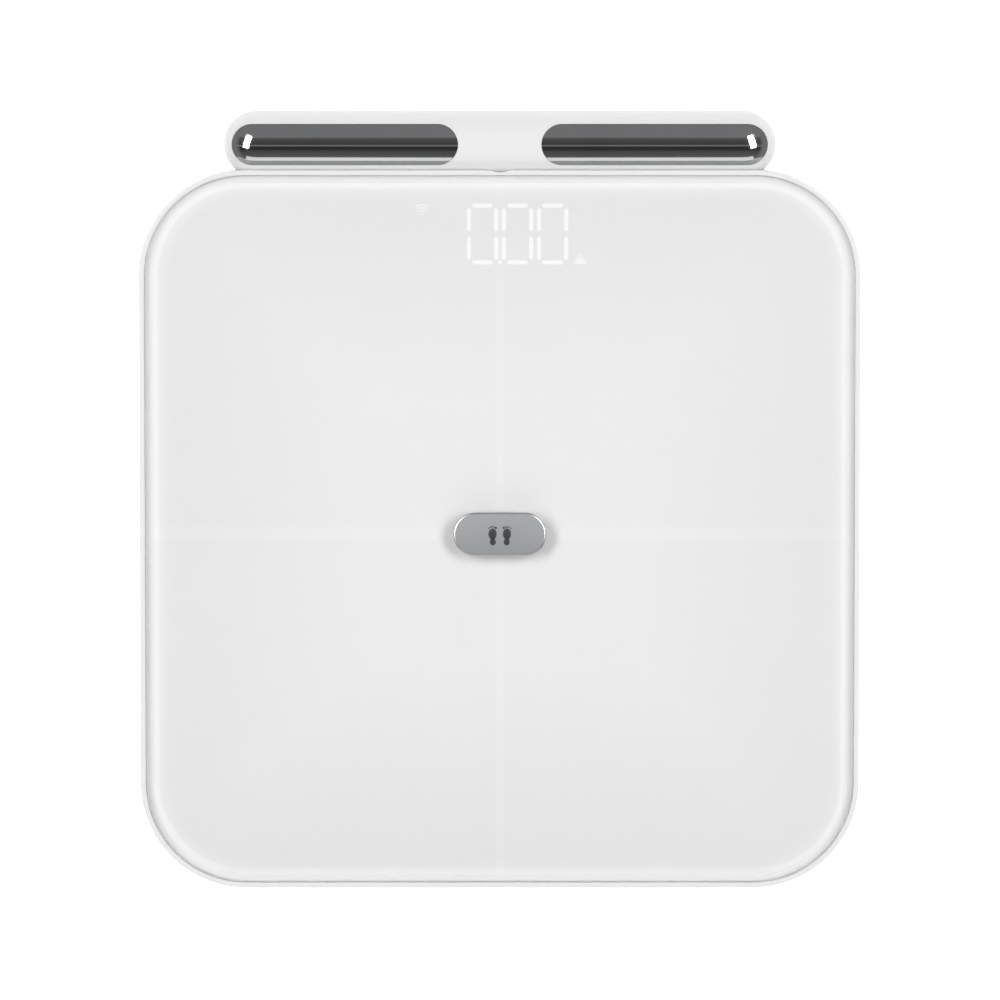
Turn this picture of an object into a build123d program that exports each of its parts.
"""Body-composition bathroom scale: glass platform on four load-cell feet, with a hand grip docked behind it.

Millimetres. +Z is up and the feet stand on Z = 0. +Y points from the user's heels to the toes and the grip.
The origin is the bottom centre of the whole object's box, so the platform's own centre lies a little in
front of it. Every piece is drawn around the platform's centre, and export() moves it into the frame.
"""

import math
import os

from build123d import *

# ---------------------------------------------------------------- driving dimensions
PLATFORM = 300.0  # side of the square platform
CORNER_R = 44.0
TOP_Z = 30.0  # glass surface above the floor

GLASS_T = 6.0
GLASS_GAP = 0.35  # between glass and rim
BEVEL_W, BEVEL_H = 3.0, 1.0  # polished bevel: width seen from above, and drop
RIM_WALL = 2.0
RIM_DROP = 0.8  # rim top below the glass surface

FILM_T = 0.3
FILM_GAP = 0.1  # clear adhesive between film and glass
TAPE_T = 0.6
DECK_T = 2.5
SKIRT_WALL = 2.5

COVER_BOTTOM_Z = 4.5
WALL = 2.0
PARTING_Z = 15.0
COVER_TOP_Z = 14.8
COVER_STEP = 0.4  # the cover's outline inside the frame's
COVER_DRAW_IN = 14.5  # how far the underside is drawn in from that outline

GRIP_LENGTH = 230.0
GRIP_HALF_W, GRIP_HALF_H = 14.0, 11.0  # half the oval section's width and height
GRIP_SIDE_R = 9.0  # radius of the section's side arcs
GRIP_AXIS_OUT = 10.5  # grip axis behind the platform's rear edge
GRIP_Z = 16.0
GRIP_WALL = 2.0
TONGUE_T, TONGUE_H = 0.9, 1.5  # the lip that keys the two shells together
DOCK_CLEARANCE = 0.3
CRADLE_HALF = 98.0  # half the cradle's length

ELECTRODE_LENGTH, ELECTRODE_WIDTH, ELECTRODE_T = 94.0, 17.0, 0.8
ELECTRODE_X = 64.4

BADGE_LENGTH, BADGE_WIDTH, BADGE_T = 38.8, 18.3, 2.0
CENTRE_Y = -1.5  # badge and contacts, from the platform's centre
SEAL_T = 0.2

DIGIT_HEIGHT = 25.4
DIGIT_PITCH = 14.6
DIGIT_WIDTH = 11.3  # between the centre lines of a digit's upright segments
SEGMENT_W = 1.8
SEGMENT_TRIM = 2.1  # how much shorter a bar is than its side of the digit
DISPLAY_Y = 123.5
FIRST_DIGIT_X = -21.8
DIGITS = 4

FOOT_OFFSET = 105.0  # foot centres from the platform's centre, along X and Y
FOOT_SIDE, FOOT_R = 40.2, 10.1
PAD_SIDE, PAD_T = 37.0, 2.0
CELL_SIDE, CELL_T, CELL_Z = 34.0, 2.5, 10.4

REEL_Y = 68.0
WIND_R = 16.5  # radius that the tether winds on
DRUM_R = 26.6
DRUM_Z, DRUM_TOP_Z = 8.0, 12.8
AXLE_R = 3.0
RUNNING_FIT = 0.08
REEL_TOP_Z = 15.0

BOARD_X, BOARD_Y, BOARD_W, BOARD_D = 82.0, 8.0, 60.0, 50.0
BOARD_Z, BOARD_T = 12.6, 1.6
BUTTON_Y = -5.0
BUTTON_R = 4.0

AAA_LENGTH, AAA_R, AAA_PITCH, AAA_Z = 44.5, 5.25, 11.0, 12.3
TRAY_Y = -57.0
TRAY_W, TRAY_D = 46.0, 52.0  # inside
TRAY_WALL = 1.6
DOOR_W, DOOR_D, DOOR_T = 62.0, 60.0, 1.8
DOOR_GAP = 0.3
HINGE_R = 1.2
HINGE_CLEARANCE = 0.1

DISPLAY_X, DISPLAY_W, DISPLAY_D = 1.0, 76.0, 32.0
DISPLAY_BOARD_Z = 16.0
MAGNET_X, MAGNET_W, MAGNET_T, MAGNET_H = 60.0, 20.0, 3.0, 6.0
TETHER_ANGLE = 32.0  # of the tether's outlet, below the horizontal
TETHER_HOLE_R = 2.6

# ---------------------------------------------------------------- derived places
HALF = PLATFORM / 2
GLASS_Z = TOP_Z - GLASS_T
FILM_TOP_Z = GLASS_Z - FILM_GAP
FILM_Z = FILM_TOP_Z - FILM_T
DECK_TOP_Z = FILM_Z - TAPE_T
DECK_Z = DECK_TOP_Z - DECK_T
RIM_TOP_Z = TOP_Z - RIM_DROP
FLOOR_Z = COVER_BOTTOM_Z + WALL
CELL_TOP_Z = CELL_Z + CELL_T
BOARD_TOP_Z = BOARD_Z + BOARD_T
POCKET = PLATFORM - 2 * RIM_WALL
POCKET_R = CORNER_R - RIM_WALL
GLASS = POCKET - 2 * GLASS_GAP
GRIP_Y = HALF + GRIP_AXIS_OUT
GRIP_SIDE_Y = GRIP_HALF_W - GRIP_SIDE_R  # centre of a side arc, from the grip's axis
GRIP_CROWN_DROP = (GRIP_SIDE_Y**2 - (GRIP_HALF_H - GRIP_SIDE_R) ** 2) / (2 * (GRIP_HALF_H - GRIP_SIDE_R))
KEEL_Z = GRIP_Z - GRIP_HALF_H - 2.0
MAGNET_Y, MAGNET_Z = GRIP_Y - GRIP_HALF_W - 3.2, PARTING_Z + 0.3
FRAME_SHIFT = Pos(0, -(GRIP_AXIS_OUT + GRIP_HALF_W) / 2, 0)  # platform's centre to the frame's origin
RIB_Z = DECK_Z - 3.6
LIGHT_BOX_Z = DISPLAY_BOARD_Z + 1.6
LIGHT_BOX_TOP_Z = FILM_Z - 0.1
TRAY_Z = FLOOR_Z + 1.4
TRAY_TOP_Z = 19.5
OPENING_R = 0.8  # tight corners, so that the door's hinged edge can turn clear of them
HINGE_Y = TRAY_Y + DOOR_D / 2 - HINGE_R - 0.4
HINGE_Z = COVER_BOTTOM_Z + HINGE_R + 0.4

FEET = {
    "front_left": (-FOOT_OFFSET, -FOOT_OFFSET),
    "front_right": (FOOT_OFFSET, -FOOT_OFFSET),
    "rear_left": (-FOOT_OFFSET, FOOT_OFFSET),
    "rear_right": (FOOT_OFFSET, FOOT_OFFSET),
}
COVER_SCREW_PAIRS = [(124.0, 48.0), (124.0, -48.0), (50.0, -122.0), (72.0, 116.0)]
COVER_SCREWS = [(side * x, y) for x, y in COVER_SCREW_PAIRS for side in (-1, 1)]
CELL_SCREWS = [(x, y) for x in (-13, 13) for y in (-13, 13)]
BOARD_SCREW_X, BOARD_SCREW_Y = BOARD_W / 2 - 4, BOARD_D / 2 - 4
BOARD_SCREWS = [(BOARD_X + sx * BOARD_SCREW_X, BOARD_Y + sy * BOARD_SCREW_Y) for sx in (-1, 1) for sy in (-1, 1)]
DISPLAY_SCREWS = [(DISPLAY_X + sx * 42.0, DISPLAY_Y + sy * 11.0) for sx in (-1, 1) for sy in (-1, 1)]
TRAY_SCREWS = [(side * (DOOR_W / 2 - 3.1), TRAY_Y) for side in (-1, 1)]
CELL_CONNECTORS = [(55.5, 21.0), (55.5, 12.0), (55.5, 3.0), (55.5, -6.0)]
CONNECTORS = CELL_CONNECTORS + [(66.0, 30.0), (78.0, 30.0), (68.0, -14.0)]
WIRE_Z = 15.3


# ---------------------------------------------------------------- helpers
def plate(width, depth, radius, z0, z1, x=0.0, y=0.0):
    """A flat plate with rounded corners, from height z0 to z1."""
    return extrude(Pos(x, y, z0) * RectangleRounded(width, depth, radius), amount=z1 - z0)


def block(width, depth, z0, z1, x=0.0, y=0.0):
    """A plain block centred on x, y."""
    return Pos(x, y, (z0 + z1) / 2) * Box(width, depth, z1 - z0)


def disc(radius, z0, z1, x=0.0, y=0.0):
    """An upright cylinder from height z0 to z1."""
    return Pos(x, y, (z0 + z1) / 2) * Cylinder(radius, z1 - z0)


def ring(outer, inner, z0, z1, x=0.0, y=0.0):
    """An upright tube from height z0 to z1."""
    return disc(outer, z0, z1, x, y) - disc(inner, z0 - 1, z1 + 1, x, y)


def stadium(length, width, z0, z1, x=0.0, y=0.0):
    """A plate with half-round ends, long along X."""
    return extrude(Pos(x, y, z0) * SlotOverall(length, width), amount=z1 - z0)


def rod_x(radius, length, y, z, x=0.0):
    """A cylinder lying along X."""
    return Pos(x, y, z) * Rot(0, 90, 0) * Cylinder(radius, length)


def rod_y(radius, length, x, y, z):
    """A cylinder lying along Y."""
    return Pos(x, y, z) * Rot(90, 0, 0) * Cylinder(radius, length)


def edges_at(part, z):
    """The edges of a part that lie wholly at one height."""
    return part.edges().filter_by_position(Axis.Z, z - 0.001, z + 0.001)


def face_at(part, z):
    """The largest level face of a part at one height."""
    level = part.faces().filter_by(Axis.Z).filter_by_position(Axis.Z, z - 0.001, z + 0.001)
    return level.sort_by(SortBy.AREA)[-1]


def tube(points, radius, bend):
    """A round wire along straight runs with rounded bends."""
    path = FilletPolyline(*points, radius=bend)
    return sweep(Plane(path @ 0, z_dir=path % 0) * Circle(radius), path=path)


def grip_bar(grown=0.0):
    """The grip's oval bar with domed ends, grown on every side."""
    crown_r = GRIP_HALF_H + GRIP_CROWN_DROP + grown
    side_r = GRIP_SIDE_R + grown
    slant = math.atan2(GRIP_CROWN_DROP, GRIP_SIDE_Y)
    join = (GRIP_SIDE_Y + side_r * math.cos(slant), side_r * math.sin(slant))
    lean = math.pi / 2 - (math.pi / 2 - slant) / 2
    crown_mid = (crown_r * math.cos(lean), crown_r * math.sin(lean) - GRIP_CROWN_DROP)
    top = (0, GRIP_HALF_H + grown)
    upper = ThreePointArc(top, crown_mid, join)
    side = ThreePointArc(join, (GRIP_HALF_W + grown, 0), (join[0], -join[1]))
    lower = ThreePointArc((join[0], -join[1]), (crown_mid[0], -crown_mid[1]), (0, -top[1]))
    half = make_face(upper + side + lower + Line((0, -top[1]), top))
    straight = GRIP_LENGTH / 2 - GRIP_HALF_W
    section = Plane.YZ * half
    middle = extrude(section, amount=straight, both=True)
    middle += mirror(middle, about=Plane.XZ)
    dome = revolve(Plane.XZ * half, Axis.Z, 360)
    bar = middle + Pos(-straight, 0, 0) * dome + Pos(straight, 0, 0) * dome
    return Pos(0, GRIP_Y, GRIP_Z) * bar


def tether_line(radius, start, end):
    """A cylinder on the tether's outlet line, from start to end away from the centre of the grip's side arc."""
    rod = Rot(90 + TETHER_ANGLE, 0, 0) * Pos(0, 0, (start + end) / 2) * Cylinder(radius, end - start)
    return Pos(0, GRIP_Y - GRIP_SIDE_Y, GRIP_Z) * rod


def screw(x, y, z, head_r, head_t, shank_r, length):
    """A pan-head screw with a cross recess, driven upwards, with its head's face at height z."""
    head = fillet(edges_at(disc(head_r, 0, head_t), 0), head_t * 0.35)
    bar = head_r * 1.1
    cross = block(bar, 0.5, -1, head_t * 0.5) + block(0.5, bar, -1, head_t * 0.5)
    return Pos(x, y, z) * (head - cross + disc(shank_r, head_t, length))


def group(parts):
    """Separate solids in one node."""
    return Compound([solid for part in parts for solid in part.solids()])


def export(name, part):
    """Writes one node, moved from the platform's centre into the frame."""
    moved = FRAME_SHIFT * part
    export_step(moved, f"parts/{name}.step")
    print(name, round(moved.volume), len(moved.solids()))


# ---------------------------------------------------------------- glass stack
def glass_platform():
    """Tempered glass with a polished bevel and a slot under the badge for the coating's contacts."""
    glass = plate(GLASS, GLASS, POCKET_R - GLASS_GAP, GLASS_Z, TOP_Z)
    glass = chamfer(edges_at(glass, GLASS_Z), 0.5)
    glass = chamfer(edges_at(glass, TOP_Z), length=BEVEL_W, length2=BEVEL_H, reference=face_at(glass, TOP_Z))
    return glass - stadium(24, 9, GLASS_Z - 1, TOP_Z + 1, 0, CENTRE_Y)


def backing_film():
    """White film behind the glass, which hides everything but the lit digits."""
    side = GLASS - 1.2
    film = plate(side, side, POCKET_R - GLASS_GAP - 0.6, FILM_Z, FILM_TOP_Z)
    return film - stadium(24.6, 9.6, FILM_Z - 1, FILM_TOP_Z + 1, 0, CENTRE_Y)


def glass_tape():
    """Foam bonding tape: a loop under the glass edge and two bars across."""
    loop = plate(GLASS - 5, GLASS - 5, CORNER_R - 5, DECK_TOP_Z, FILM_Z)
    loop -= plate(GLASS - 21, GLASS - 21, CORNER_R - 13, DECK_TOP_Z - 1, FILM_Z + 1)
    loop -= plate(DISPLAY_W + 6, DISPLAY_D + 6, 2, DECK_TOP_Z - 1, FILM_Z + 1, DISPLAY_X, DISPLAY_Y)
    bars = [block(220, 12, DECK_TOP_Z, FILM_Z, 0, y) for y in (-62, 62)]
    return group([loop, *bars])


def center_badge():
    """The oval metal badge over the contact slot, hollow below and with a turned-down polished edge."""
    z0 = TOP_Z + SEAL_T
    badge = stadium(BADGE_LENGTH, BADGE_WIDTH, z0, z0 + BADGE_T, 0, CENTRE_Y)
    badge = fillet(edges_at(badge, z0 + BADGE_T), 1.0)
    return badge - stadium(BADGE_LENGTH - 10, BADGE_WIDTH - 6, z0 - 1, z0 + 0.7, 0, CENTRE_Y)


def badge_seal():
    """Adhesive foam loop that seals the badge to the glass."""
    seal = stadium(BADGE_LENGTH - 1.2, BADGE_WIDTH - 1.2, TOP_Z, TOP_Z + SEAL_T, 0, CENTRE_Y)
    return seal - stadium(BADGE_LENGTH - 9, BADGE_WIDTH - 5, TOP_Z - 1, TOP_Z + 1, 0, CENTRE_Y)


def contact_block():
    """Moulded block in the glass slot that carries the four contacts of the conductive coating."""
    body = stadium(22.6, 7.6, FILM_Z - 1, TOP_Z - 0.3, 0, CENTRE_Y)
    foot = stadium(25.0, 10.0, DECK_Z + 0.4, FILM_Z - 0.1, 0, CENTRE_Y)
    holder = body + foot
    for x, y in contact_spots():
        holder -= block(3.4, 0.6, DECK_Z - 1, TOP_Z + 1, x, y)
    return holder


def contact_spots():
    """Where the four contact strips pass through the block, one for each quarter of the coating."""
    return [(sx * 6.0, CENTRE_Y + sy * 3.1) for sx in (-1, 1) for sy in (-1, 1)]


def contact_tabs():
    """Four phosphor-bronze strips, each folded over onto its quarter of the coated glass."""
    tabs = []
    for x, y in contact_spots():
        outward = math.copysign(1, y - CENTRE_Y)
        strip = block(3.0, 0.25, DECK_Z - 2.5, TOP_Z + 0.2, x, y)
        tabs.append(strip + block(3.0, 3.0, TOP_Z + 0.01, TOP_Z + 0.2, x, y + outward * 1.4))
    return group(tabs)


# ---------------------------------------------------------------- frame and cover
def outline(inset, z0, z1):
    """The platform's outline, drawn in on every side."""
    return plate(PLATFORM - 2 * inset, PLATFORM - 2 * inset, CORNER_R - inset, z0, z1)


def platform_frame():
    """The white moulded frame: rim around the glass, deck, ribs, bosses and the upper wall of the dock."""
    frame = outline(0, PARTING_Z, RIM_TOP_Z)
    frame = fillet(edges_at(frame, RIM_TOP_Z), 0.8)
    frame -= plate(POCKET, POCKET, POCKET_R, DECK_TOP_Z, RIM_TOP_Z + 1)
    frame -= outline(SKIRT_WALL, PARTING_Z - 1, DECK_Z)
    frame += frame_ribs()
    for x, y in COVER_SCREWS:
        frame += disc(3.6, 8.0, DECK_Z + 1, x, y) - disc(1.3, 7.0, DECK_Z - 1, x, y)
    for foot_x, foot_y in FEET.values():
        for dx, dy in CELL_SCREWS:
            post = disc(2.8, CELL_TOP_Z, DECK_Z + 1, foot_x + dx, foot_y + dy)
            frame += post - disc(1.0, CELL_TOP_Z - 1, DECK_Z - 1, foot_x + dx, foot_y + dy)
    frame -= plate(DISPLAY_W + 1, DISPLAY_D + 1, 1.5, RIB_Z - 1, DECK_TOP_Z + 1, DISPLAY_X, DISPLAY_Y)
    for x, y in DISPLAY_SCREWS:
        frame += disc(2.6, LIGHT_BOX_Z, DECK_Z + 1, x, y) - disc(1.0, LIGHT_BOX_Z - 1, DECK_Z + 0.5, x, y)
    frame -= stadium(26, 11, DECK_Z - 1, DECK_TOP_Z + 1, 0, CENTRE_Y)
    for x, y in TRAY_SCREWS:
        frame += disc(2.5, TRAY_Z + TRAY_WALL, DECK_Z + 1, x, y) - disc(1.0, TRAY_Z, DECK_Z - 1, x, y)
    for x in (-MAGNET_X, MAGNET_X):
        frame -= block(MAGNET_W + 0.2, MAGNET_T + 0.2, PARTING_Z - 1, MAGNET_Z + MAGNET_H + 0.1, x, MAGNET_Y)
    frame -= tether_notch()
    return frame - grip_bar(DOCK_CLEARANCE)


def frame_ribs():
    """Ribs under the deck, and the thick wall that the grip lies against."""
    ribs = [block(1.8, 290, RIB_Z, DECK_Z + 1, x) for x in (-125, -86, -50, 50, 125)]
    ribs += [block(290, 1.8, RIB_Z, DECK_Z + 1, 0, y) for y in (-125, -88, 38, 125)]
    lattice = ribs[0].fuse(*ribs[1:])
    for x, y in FEET.values():
        lattice -= plate(45, 45, 8, RIB_Z - 1, DECK_Z - 1.5, x, y)
    lattice -= block(DOOR_W, DOOR_D + 4, RIB_Z - 1, DECK_Z, 0, TRAY_Y)
    lattice -= block(DISPLAY_W + 22, DISPLAY_D + 3, RIB_Z - 1, DECK_Z, DISPLAY_X, DISPLAY_Y)
    dock_wall = block(226, 9.5, PARTING_Z, DECK_Z + 1, 0, HALF - 4.75)
    return (lattice + dock_wall) & outline(1, PARTING_Z, DECK_Z + 1)


def tether_notch():
    """A shallow notch in the rear rim, which keeps the tether central when the grip is raised."""
    width, depth = 8.0, 1.0
    radius = (width**2 / 4 + depth**2) / (2 * depth)
    return disc(radius, PARTING_Z - 1, TOP_Z + 1, 0, HALF + radius - depth)


def hull(inset):
    """The dished underside, drawn in on every side from its outer form."""
    radius = CORNER_R - COVER_STEP - inset
    side = PLATFORM - 2 * (COVER_STEP + inset)
    floor = side - 2 * COVER_DRAW_IN
    lower = Pos(0, 0, COVER_BOTTOM_Z + inset) * RectangleRounded(floor, floor, radius - COVER_DRAW_IN)
    upper = Pos(0, 0, COVER_TOP_Z) * RectangleRounded(side, side, radius)
    return loft([lower, upper], ruled=True)


def cradle():
    """The tail of the underside that the grip rests in: a keel under the grip and a lip behind it."""
    rear_y = GRIP_Y + GRIP_SIDE_Y
    profile = Polyline(
        (120, COVER_BOTTOM_Z),
        (134, COVER_BOTTOM_Z),
        (142, KEEL_Z),
        (GRIP_Y + 3, KEEL_Z),
        (rear_y + 4.6, KEEL_Z + 1.8),
        (rear_y + 7.4, KEEL_Z + 4.4),
        (rear_y + 5.8, KEEL_Z + 6.0),
        (GRIP_Y, COVER_TOP_Z),
        (120, COVER_TOP_Z),
        (120, COVER_BOTTOM_Z),
    )
    return extrude(Plane.YZ * make_face(profile), amount=CRADLE_HALF, both=True)


def cradle_hollow():
    """The hollow in front of the cradle's wall, open to the inside of the cover."""
    profile = Polyline(
        (120, FLOOR_Z),
        (134, FLOOR_Z),
        (142, KEEL_Z + WALL),
        (GRIP_Y, KEEL_Z + WALL),
        (GRIP_Y, COVER_TOP_Z),
        (120, COVER_TOP_Z),
        (120, FLOOR_Z),
    )
    return extrude(Plane.YZ * make_face(profile), amount=CRADLE_HALF - WALL, both=True)


def bottom_cover():
    """The white bottom cover: a dished shell with the grip's cradle, foot wells and battery opening."""
    outer = hull(0) + cradle() - grip_bar(DOCK_CLEARANCE)
    inner = hull(WALL) + cradle_hollow() - grip_bar(DOCK_CLEARANCE + WALL)
    cover = outer - inner
    for x, y in FEET.values():
        cover += plate(45, 45, 12.5, COVER_BOTTOM_Z, 9.4, x, y)
    for x, y in FEET.values():
        cover -= plate(FOOT_SIDE + 0.8, FOOT_SIDE + 0.8, FOOT_R + 0.4, 0, 12, x, y)
    for x, y in COVER_SCREWS:
        cover += disc(5.0, COVER_BOTTOM_Z, 8.0, x, y)
        cover -= disc(3.1, 0, 6.4, x, y) + disc(1.6, 5, 9, x, y)
    cover = battery_opening(cover)
    cover += ring(8.0, 6.3, FLOOR_Z - 0.5, 8.4, BOARD_X, BUTTON_Y)
    cover -= disc(BUTTON_R + 0.3, 0, FLOOR_Z + 1, BOARD_X, BUTTON_Y)
    for x, y in BOARD_SCREWS:
        cover += ring(3.2, 1.0, FLOOR_Z - 0.5, BOARD_Z, x, y)
    return cover - tether_line(TETHER_HOLE_R, GRIP_SIDE_R, GRIP_SIDE_R + 6)


def battery_opening(cover):
    """The opening for the battery door, the wall around it, and the sockets for the door's trunnions."""
    side_w, side_d = DOOR_W + 2 * DOOR_GAP, DOOR_D + 2 * DOOR_GAP
    cover += plate(side_w + 7, side_d + 7, 5, FLOOR_Z - 0.5, 8.4, 0, TRAY_Y)
    cover -= plate(side_w, side_d, OPENING_R, 0, 9, 0, TRAY_Y)
    return cover - rod_x(HINGE_R + HINGE_CLEARANCE, DOOR_W + 3.6, HINGE_Y, HINGE_Z)


def battery_door():
    """The battery door: a plate on two trunnions, with a latch tongue and finger grooves at its front."""
    front, back = TRAY_Y - DOOR_D / 2, TRAY_Y + DOOR_D / 2
    top = COVER_BOTTOM_Z + DOOR_T
    door = plate(DOOR_W, DOOR_D, 2, COVER_BOTTOM_Z, top, 0, TRAY_Y)
    door -= block(DOOR_W + 2, 2 * (back - HINGE_Y), COVER_BOTTOM_Z - 1, top + 1, 0, back)
    door += rod_x(HINGE_R + 0.4, DOOR_W - 6, HINGE_Y, HINGE_Z)
    door += rod_x(HINGE_R, DOOR_W + 2.8, HINGE_Y, HINGE_Z)
    door += block(12, 1.4, top, top + 1.3, 0, front + 1.5)
    for i in range(4):
        door -= stadium(18, 1.0, COVER_BOTTOM_Z - 1, COVER_BOTTOM_Z + 0.5, 0, front + 6 + 2.2 * i)
    return door


# ---------------------------------------------------------------- feet and load cells
def foot_cap(x, y):
    """A moulded foot cup with a post that presses the load cell's tongue."""
    cup = plate(FOOT_SIDE, FOOT_SIDE, FOOT_R, PAD_T, 8.4, x, y)
    cup = fillet(edges_at(cup, PAD_T), 0.8)
    cup -= plate(FOOT_SIDE - 3.6, FOOT_SIDE - 3.6, FOOT_R - 1.8, PAD_T + 1.8, 9, x, y)
    return cup + disc(4.0, PAD_T + 1, CELL_Z, x, y)


def foot_pad(x, y):
    """A rubber pad with a ribbed, slightly rounded sole."""
    pad = plate(PAD_SIDE, PAD_SIDE, FOOT_R - 1.6, 0, PAD_T, x, y)
    pad = fillet(edges_at(pad, 0), 0.6)
    for r in (6.0, 10.0, 14.0):
        pad -= ring(r + 0.6, r - 0.6, -1, 0.6, x, y)
    return pad


def load_cell(x, y):
    """A stamped steel load cell: a square frame with a tongue that the foot bends."""
    cell = plate(CELL_SIDE, CELL_SIDE, 3, CELL_Z, CELL_TOP_Z)
    for dx in (-9.0, 9.0):
        cell -= block(2.2, 22, CELL_Z - 1, CELL_TOP_Z + 1, dx, -1)
    cell -= block(20.2, 2.2, CELL_Z - 1, CELL_TOP_Z + 1, 0, -11.0)
    for dx, dy in CELL_SCREWS:
        cell -= disc(1.5, CELL_Z - 1, CELL_TOP_Z + 1, dx, dy)
    return Pos(x, y, 0) * cell


def gauge_coatings():
    """White silicone over the strain gauges, at the root of each tongue."""
    return group([plate(10, 6, 2, CELL_TOP_Z, CELL_TOP_Z + 0.8, x, y + 8) for x, y in FEET.values()])


# ---------------------------------------------------------------- electronics
def main_board():
    """The main circuit board."""
    board = plate(BOARD_W, BOARD_D, 1.5, BOARD_Z, BOARD_TOP_Z, BOARD_X, BOARD_Y)
    for x, y in BOARD_SCREWS:
        board -= disc(1.4, BOARD_Z - 1, BOARD_TOP_Z + 1, x, y)
    return board


def board_chips():
    """Black packages: converter, controller, memory and power parts."""
    converter, controller = (88, 14, 9, 9, 1.2), (88, -2, 7, 7, 1.0)
    others = [(74, -6, 5, 4, 1.0), (70, 8, 5, 6, 1.4), (101, 20, 4, 5, 1.1)]
    packages = [converter, controller] + others
    chips = [block(w, d, BOARD_TOP_Z, BOARD_TOP_Z + h, x, y) for x, y, w, d, h in packages]
    cans = [disc(2.0, BOARD_TOP_Z, BOARD_TOP_Z + 2.3, x, 23) for x in (86, 92)]
    return group(chips + cans)


def board_connectors():
    """White wire connectors, on the main board and on the display board."""
    bodies = [block(6.4, 6.4, BOARD_TOP_Z, WIRE_Z + 1.3, x, y) for x, y in CONNECTORS]
    return group([*bodies, block(8, 5, DISPLAY_BOARD_Z - 2, DISPLAY_BOARD_Z, 41, DISPLAY_Y)])


def radio_shield():
    """Tinned can over the radio module."""
    can = block(12, 14, BOARD_TOP_Z, BOARD_TOP_Z + 2.0, 101, 2)
    return fillet(edges_at(can, BOARD_TOP_Z + 2.0), 0.4)


def unit_switch():
    """The tactile switch under the main board."""
    body = block(6, 6, BOARD_Z - 3.0, BOARD_Z, BOARD_X, BUTTON_Y)
    return body - disc(1.4, BOARD_Z - 4, BOARD_Z - 0.8, BOARD_X, BUTTON_Y)


def unit_button():
    """The unit button, with its flange inside the cover and a stem that reaches into the switch."""
    button = disc(BUTTON_R, COVER_BOTTOM_Z + 0.3, FLOOR_Z + 0.4, BOARD_X, BUTTON_Y)
    button = fillet(edges_at(button, COVER_BOTTOM_Z + 0.3), 0.5)
    button += disc(5.8, FLOOR_Z + 0.2, FLOOR_Z + 1.2, BOARD_X, BUTTON_Y)
    button += disc(2.0, FLOOR_Z + 1, BOARD_Z - 4.1, BOARD_X, BUTTON_Y)
    return button + disc(1.15, BOARD_Z - 5, BOARD_Z - 2.0, BOARD_X, BUTTON_Y)


def display_board():
    """The display's circuit board."""
    board = plate(90, 30, 1.5, DISPLAY_BOARD_Z, LIGHT_BOX_Z, DISPLAY_X, DISPLAY_Y)
    for x, y in DISPLAY_SCREWS:
        board -= disc(1.1, DISPLAY_BOARD_Z - 1, LIGHT_BOX_Z + 1, x, y)
    return board


def display_segments():
    """Light bars of four seven-bar digits, the decimal point, the unit mark and the radio mark."""
    z0, z1 = LIGHT_BOX_TOP_Z - 2.5, LIGHT_BOX_TOP_Z
    half_w, half_h = DIGIT_WIDTH / 2, (DIGIT_HEIGHT - SEGMENT_W) / 2
    flat = stadium(DIGIT_WIDTH - SEGMENT_TRIM, SEGMENT_W, z0, z1)
    upright = Rot(0, 0, 90) * stadium(half_h - SEGMENT_TRIM, SEGMENT_W, z0, z1)
    bars = []
    for i in range(DIGITS):
        x = FIRST_DIGIT_X + i * DIGIT_PITCH
        bars += [Pos(x, DISPLAY_Y + dy, 0) * flat for dy in (-half_h, 0, half_h)]
        bars += [Pos(x + dx, DISPLAY_Y - half_h / 2, 0) * upright for dx in (-half_w, half_w)]
        bars += [Pos(x + dx, DISPLAY_Y + half_h / 2, 0) * upright for dx in (-half_w, half_w)]
    bars.append(disc(1.0, z0, z1, FIRST_DIGIT_X + 1.5 * DIGIT_PITCH, DISPLAY_Y - half_h))
    bars.append(stadium(5.6, 4.0, z0, z1, 33.4, 112.6))
    bars.append(stadium(5.0, 4.4, z0, z1, -32.4, 133.4))
    return group(bars)


def display_light_box(bars):
    """The white box around the light bars."""
    box = block(DISPLAY_W, DISPLAY_D, LIGHT_BOX_Z, LIGHT_BOX_TOP_Z, DISPLAY_X, DISPLAY_Y)
    for x, y in DISPLAY_SCREWS:
        box -= disc(2.9, LIGHT_BOX_Z - 1, LIGHT_BOX_TOP_Z + 1, x, y)
    return box - bars


def battery_tray():
    """The battery box: four bays open downwards, with a flange that fills the door's opening."""
    outer = block(TRAY_W + 2 * TRAY_WALL, TRAY_D + 2 * TRAY_WALL, TRAY_Z, TRAY_TOP_Z, 0, TRAY_Y)
    flange = plate(DOOR_W - 0.4, DOOR_D - 0.4, 1.8, TRAY_Z, TRAY_Z + TRAY_WALL, 0, TRAY_Y)
    tray = outer + flange - block(TRAY_W, TRAY_D, TRAY_Z - 1, TRAY_TOP_Z - TRAY_WALL, 0, TRAY_Y)
    for i in (-1, 0, 1):
        tray += block(1.2, TRAY_D - 12, TRAY_TOP_Z - TRAY_WALL - 1.6, TRAY_TOP_Z - 1, i * AAA_PITCH, TRAY_Y)
    for x, y in TRAY_SCREWS:
        tray -= disc(1.3, TRAY_Z - 1, TRAY_Z + 2, x, y)
    latch = block(13, 3.2, TRAY_Z - 1, TRAY_Z + 2, 0, TRAY_Y - DOOR_D / 2 + 1.6)
    hinge_room = block(DOOR_W, 5, TRAY_Z - 1, HINGE_Z + HINGE_R + 0.9, 0, TRAY_Y + DOOR_D / 2 - 1)
    return tray - latch - hinge_room


def battery_ends():
    """Centre and pole direction of each cell: the poles alternate, since the cells are in series."""
    return [((i - 1.5) * AAA_PITCH, 1 if i % 2 == 0 else -1) for i in range(4)]


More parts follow.
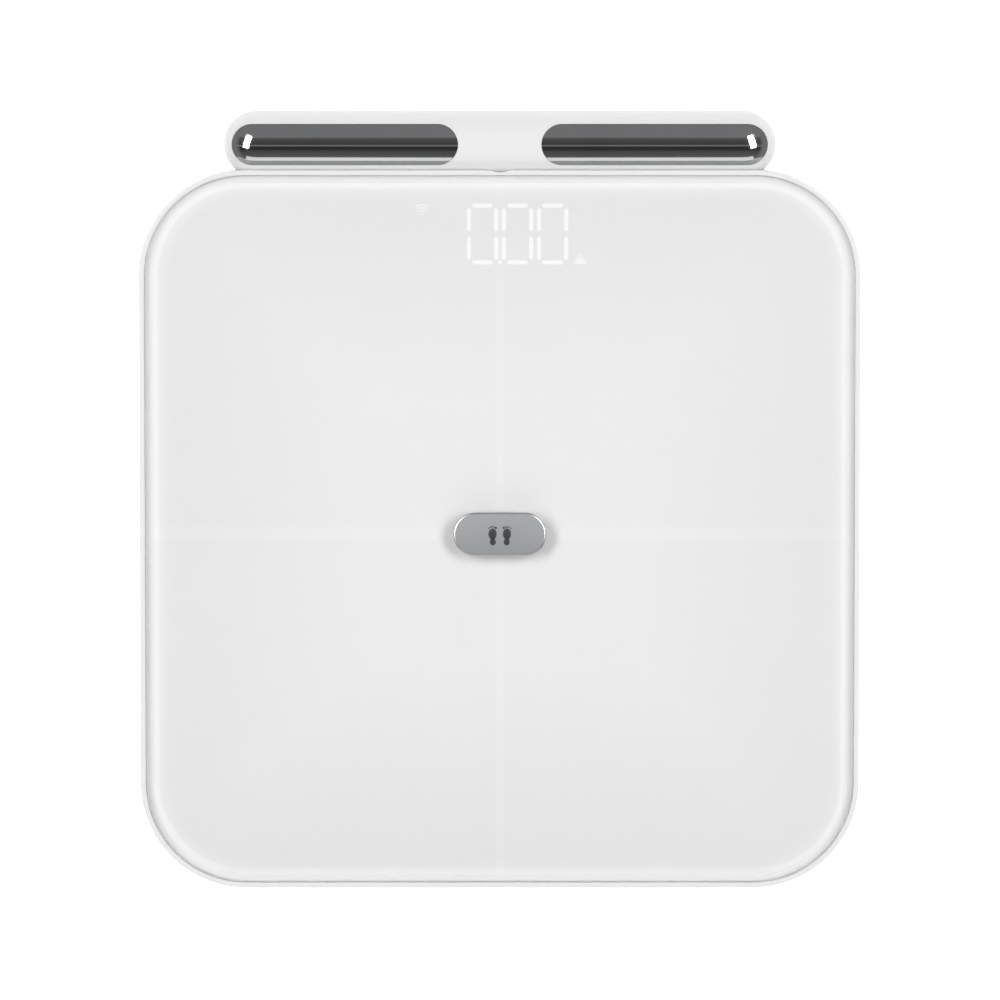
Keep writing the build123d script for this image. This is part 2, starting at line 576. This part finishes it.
def battery_cells():
    """Four cells with a pole cap at one end and a crimped shoulder at each end."""
    cells = []
    for x, pole in battery_ends():
        can = Cylinder(AAA_R, AAA_LENGTH - 1.2)
        can = fillet(can.edges(), 0.6) + Pos(0, 0, AAA_LENGTH / 2 - 0.5) * Cylinder(1.9, 1.0)
        y = TRAY_Y + pole * (TRAY_D / 2 - AAA_LENGTH / 2 - 0.6)
        cells.append(Pos(x, y, AAA_Z) * Rot(-90 * pole, 0, 0) * can)
    return group(cells)


def battery_springs():
    """A conical coil behind the flat end of each cell."""
    gap = TRAY_D - AAA_LENGTH - 0.4
    springs = []
    for x, pole in battery_ends():
        coil = Helix(pitch=1.7, height=gap - 1.6, radius=3.6, cone_angle=-14)
        wire = sweep(Plane(coil @ 0, z_dir=coil % 0) * Circle(0.3), path=coil)
        springs.append(Pos(x, TRAY_Y - pole * (TRAY_D / 2 - 0.9), AAA_Z) * Rot(-90 * pole, 0, 0) * wire)
    return group(springs)


def battery_plates():
    """Nickel-plated contact plates at both ends of the bays."""
    z0, z1 = AAA_Z - 4.6, AAA_Z + 4.4
    plates = []
    for y in (TRAY_Y - TRAY_D / 2 + 0.25, TRAY_Y + TRAY_D / 2 - 0.25):
        plates += [block(AAA_PITCH - 1.6, 0.4, z0, z1, x, y) for x, _ in battery_ends()]
    return group(plates)


# ---------------------------------------------------------------- tether reel
def reel_housing():
    """The reel's cup, with a gap in its wall where the tether leaves towards the grip."""
    cup = disc(29, FLOOR_Z, 7.7, WIND_R, REEL_Y) + ring(29, 27.4, 7.5, REEL_TOP_Z, WIND_R, REEL_Y)
    return cup - block(8, 24, 8.0, REEL_TOP_Z + 1, 0, REEL_Y + 26)


def reel_lid():
    """The reel's lid, with a step that locates it in the cup."""
    lid = disc(29, REEL_TOP_Z, REEL_TOP_Z + 0.8, WIND_R, REEL_Y)
    return lid + ring(27.2, 26.0, REEL_TOP_Z - 0.6, REEL_TOP_Z, WIND_R, REEL_Y)


def reel_axle():
    """Steel axle with a slot for the spring's inner end."""
    axle = disc(AXLE_R, 7.7, REEL_TOP_Z, WIND_R, REEL_Y)
    return axle - block(0.5, 2 * AXLE_R + 1, 7.9, 11.6, WIND_R, REEL_Y)


def reel_drum():
    """The drum: two flanges around the winding core, hollow below for the power spring."""
    drum = disc(DRUM_R, DRUM_Z, DRUM_TOP_Z, WIND_R, REEL_Y)
    drum -= ring(DRUM_R + 1, WIND_R - 0.5, DRUM_Z + 0.9, DRUM_TOP_Z - 0.9, WIND_R, REEL_Y)
    drum -= disc(13.4, DRUM_Z - 1, DRUM_TOP_Z - 0.9, WIND_R, REEL_Y)
    return drum - disc(AXLE_R + RUNNING_FIT, 0, CELL_SIDE, WIND_R, REEL_Y)


def slip_ring_disc():
    """Contact disc on top of the drum, with three raised tracks."""
    z0, z1 = DRUM_TOP_Z, DRUM_TOP_Z + 0.8
    disc_blank = ring(14.0, AXLE_R + 0.3, z0, z1, WIND_R, REEL_Y)
    return disc_blank - ring(12.6, 12.2, z1 - 0.2, z1 + 1, WIND_R, REEL_Y)


def reel_spring():
    """The flat power spring, coiled from the axle out to the drum: half turns about two centres."""
    strip, step, z0, z1 = 0.3, 0.55, 8.3, 11.6
    turns = []
    radius = AXLE_R + 0.4
    for i in range(32):
        side = 1 if i % 2 == 0 else -1
        x = WIND_R + (0 if side > 0 else step / 2)
        arc = ring(radius + strip, radius, z0, z1, x, REEL_Y)
        turns.append(arc & block(60, 30, z0 - 1, z1 + 1, x, REEL_Y + side * 15))
        radius += step / 2
    return turns[0].fuse(*turns[1:])


def reel_brushes():
    """Three spring brushes that ride on the slip rings, fixed to the lid."""
    parts = []
    for i, r in enumerate((5.5, 8.5, 11.0)):
        x = WIND_R + r
        z0 = DRUM_TOP_Z + 0.85
        leaf = block(1.2, 5.0, z0, z0 + 0.3, x, REEL_Y)
        parts.append(leaf + block(1.2, 0.3, z0, REEL_TOP_Z, x, REEL_Y + 2.5))
    return group(parts)


def tether_eyelet():
    """Flared bush that the tether runs through, in the wall of the dock."""
    bush = tether_line(TETHER_HOLE_R, GRIP_SIDE_R + 0.4, GRIP_SIDE_R + 4.5)
    bush += tether_line(TETHER_HOLE_R + 1.1, GRIP_SIDE_R + DOCK_CLEARANCE + WALL + 0.1, GRIP_SIDE_R + 4.0)
    bush -= tether_line(0.9, GRIP_SIDE_R, GRIP_SIDE_R + 6)
    flare = Pos(0, 0, GRIP_SIDE_R + 1.0) * Cone(0.9, 2.0, 1.4)
    turned = Pos(0, GRIP_Y - GRIP_SIDE_Y, GRIP_Z) * Rot(90 + TETHER_ANGLE, 0, 0)
    return bush - turned * mirror(flare, about=Plane((0, 0, GRIP_SIDE_R + 1.0)))


def dock_magnets():
    """Two bar magnets inside the dock wall."""
    top = MAGNET_Z + MAGNET_H
    return group([block(MAGNET_W, MAGNET_T, MAGNET_Z, top, x, MAGNET_Y) for x in (-MAGNET_X, MAGNET_X)])


# ---------------------------------------------------------------- grip
def above(z0, z1):
    """A slab that spans the whole grip between two heights."""
    return block(GRIP_LENGTH + 20, 60, z0, z1, 0, GRIP_Y)


def electrode_prism(side, grown, upper):
    """The upright stadium that trims one electrode or its recess."""
    z0, z1 = (GRIP_Z, GRIP_Z + 30) if upper else (GRIP_Z - 30, GRIP_Z)
    x = side * ELECTRODE_X
    return stadium(ELECTRODE_LENGTH + 2 * grown, ELECTRODE_WIDTH + 2 * grown, z0, z1, x, GRIP_Y)


def electrode(side, upper, bar, inner):
    """A thin polished plate that follows the grip, with a stud through the shell to the board."""
    plate_part = (bar - inner) & electrode_prism(side, 0, upper)
    if upper:
        return plate_part + disc(1.2, GRIP_Z + 0.8, GRIP_Z + GRIP_HALF_H - 0.3, side * ELECTRODE_X, GRIP_Y)
    return plate_part + disc(1.2, GRIP_Z - GRIP_HALF_H + 0.3, GRIP_Z - 0.8, side * ELECTRODE_X, GRIP_Y)


def grip_shell(upper, bar, recess_floor):
    """One half of the grip's moulded body, keyed to the other and recessed for its two electrodes."""
    hollow = grip_bar(-GRIP_WALL)
    step_z = GRIP_Z - TONGUE_H
    if upper:
        shell = (bar - hollow) & above(GRIP_Z, GRIP_Z + 30)
        shell += (grip_bar(TONGUE_T - GRIP_WALL) - hollow) & above(step_z, GRIP_Z)
    else:
        shell = (bar - hollow) & above(GRIP_Z - 30, step_z - 0.1)
        shell += (bar - grip_bar(TONGUE_T + 0.1 - GRIP_WALL)) & above(step_z - 0.1, GRIP_Z)
        shell -= tether_line(2.4, GRIP_SIDE_R - 4, GRIP_SIDE_R + 2)
    for side in (-1, 1):
        shell -= electrode_prism(side, 0.1, upper) - recess_floor
        shell -= disc(1.3, GRIP_Z - 30, GRIP_Z + 30, side * ELECTRODE_X, GRIP_Y)
    return shell


def grip_board():
    """The strip of circuit board along the grip, on the plane where its shells meet."""
    return block(190, 15, GRIP_Z - 0.8, GRIP_Z + 0.8, 0, GRIP_Y)


def grip_keepers():
    """Steel plates in the grip that the dock's magnets hold."""
    y = GRIP_Y - GRIP_HALF_W + GRIP_WALL + 2.4
    return group([block(MAGNET_W, MAGNET_T, GRIP_Z - 3, GRIP_Z + 3, x, y) for x in (-MAGNET_X, MAGNET_X)])


def tether_gland(bar):
    """Bush where the tether enters the grip."""
    gland = tether_line(2.4, GRIP_SIDE_R - 3, GRIP_SIDE_R + 1) & bar
    gland += tether_line(3.0, GRIP_SIDE_R - 4.1, GRIP_SIDE_R - GRIP_WALL - 0.8)
    return gland - tether_line(0.9, 0, GRIP_SIDE_R + 3)


# ---------------------------------------------------------------- screws and wires
def cover_screws():
    """Eight screws that hold the bottom cover to the frame."""
    return group([screw(x, y, FLOOR_Z - 1.7, 2.7, 1.5, 1.25, 11.0) for x, y in COVER_SCREWS])


def inner_screws():
    """Screws of the load cells, boards and battery tray."""
    spots = [(fx + dx, fy + dy, CELL_Z) for fx, fy in FEET.values() for dx, dy in CELL_SCREWS]
    spots += [(x, y, DISPLAY_BOARD_Z) for x, y in DISPLAY_SCREWS]
    spots += [(x, y, TRAY_Z) for x, y in TRAY_SCREWS]
    upward = [screw(x, y, z - 1.3, 2.2, 1.3, 0.95, 5.6) for x, y, z in spots]
    turned = screw(0, 0, 0, 2.2, 1.3, 0.95, 5.0)
    downward = [Pos(x, y, BOARD_TOP_Z + 1.3) * Rot(180, 0, 0) * turned for x, y in BOARD_SCREWS]
    return group(upward + downward)


def sensor_wires():
    """Wire bundles from the four load cells to the main board."""
    z, low = WIRE_Z, CELL_TOP_Z + 1.5
    plug_x = 52.2
    front_left = [(-99, -96, low), (-90, -96, z), (-66, -96, z), (-66, 3, z), (plug_x, 3, z)]
    front_right = [(99, -96, low), (90, -96, z), (72, -96, z), (72, -32, z)]
    front_right += [(44, -32, z), (44, -6, z), (plug_x, -6, z)]
    rear_left = [(-99, 103, low), (-90, 103, z), (-60, 103, z), (-60, 28, z)]
    rear_left += [(40, 28, z), (40, 12, z), (plug_x, 12, z)]
    rear_right = [(99, 103, low), (90, 103, z), (78, 103, z), (78, 33.3, z)]
    runs = [front_left, front_right, rear_left, rear_right]
    return group([tube(run, 0.8, 2.5) for run in runs])


def battery_leads():
    """The two leads from the battery box to the main board."""
    y, z = TRAY_Y + TRAY_D / 2 + TRAY_WALL + 0.1, 12.0
    runs = [
        [(18, y, z), (18, -20, z), (56, -20, z), (66, -20, WIRE_Z), (66, -17.3, WIRE_Z)],
        [(22, y, z), (22, -24, z), (58, -24, z), (70, -24, WIRE_Z), (70, -17.3, WIRE_Z)],
    ]
    return group([tube(run, 0.65, 1.0) for run in runs])


def signal_wires():
    """Cables from the display board and from the reel's brushes to the main board."""
    z = WIRE_Z
    low = DISPLAY_BOARD_Z - 1
    display = [(45.1, DISPLAY_Y, low), (66, DISPLAY_Y, low), (66, 90, z), (66, 33.3, z)]
    reel = [(45.7, 62, 12), (48, 62, 12), (48, 30, z), (48, 21, z), (52.2, 21, z)]
    return group([tube(display, 0.9, 3.0), tube(reel, 0.7, 1.0)])


# ---------------------------------------------------------------- build
os.makedirs("parts", exist_ok=True)

export("glass_platform", glass_platform())
export("backing_film", backing_film())
export("glass_tape", glass_tape())
export("center_badge", center_badge())
export("badge_seal", badge_seal())
export("contact_block", contact_block())
export("contact_tabs", contact_tabs())
export("platform_frame", platform_frame())
export("bottom_cover", bottom_cover())
export("battery_door", battery_door())
for corner, (foot_x, foot_y) in FEET.items():
    export(f"foot_cap_{corner}", foot_cap(foot_x, foot_y))
    export(f"foot_pad_{corner}", foot_pad(foot_x, foot_y))
    export(f"load_cell_{corner}", load_cell(foot_x, foot_y))
export("gauge_coatings", gauge_coatings())
export("main_board", main_board())
export("board_chips", board_chips())
export("board_connectors", board_connectors())
export("radio_shield", radio_shield())
export("unit_switch", unit_switch())
export("unit_button", unit_button())
export("display_board", display_board())
light_bars = display_segments()
export("display_segments", light_bars)
export("display_light_box", display_light_box(light_bars))
export("battery_tray", battery_tray())
export("battery_cells", battery_cells())
export("battery_springs", battery_springs())
export("battery_plates", battery_plates())
export("reel_housing", reel_housing())
export("reel_lid", reel_lid())
export("reel_axle", reel_axle())
export("reel_drum", reel_drum())
export("slip_ring_disc", slip_ring_disc())
export("reel_spring", reel_spring())
export("reel_brushes", reel_brushes())
export("tether_eyelet", tether_eyelet())
export("dock_magnets", dock_magnets())
grip_body = grip_bar()
electrode_back = grip_bar(-ELECTRODE_T)
recess_back = grip_bar(-ELECTRODE_T - 0.1)
for name, is_upper in (("upper", True), ("lower", False)):
    export(f"grip_{name}_shell", grip_shell(is_upper, grip_body, recess_back))
    export(f"grip_electrode_{name}_left", electrode(-1, is_upper, grip_body, electrode_back))
    export(f"grip_electrode_{name}_right", electrode(1, is_upper, grip_body, electrode_back))
export("grip_board", grip_board())
export("grip_keepers", grip_keepers())
export("tether_gland", tether_gland(grip_body))
export("cover_screws", cover_screws())
export("inner_screws", inner_screws())
export("sensor_wires", sensor_wires())
export("battery_leads", battery_leads())
export("signal_wires", signal_wires())
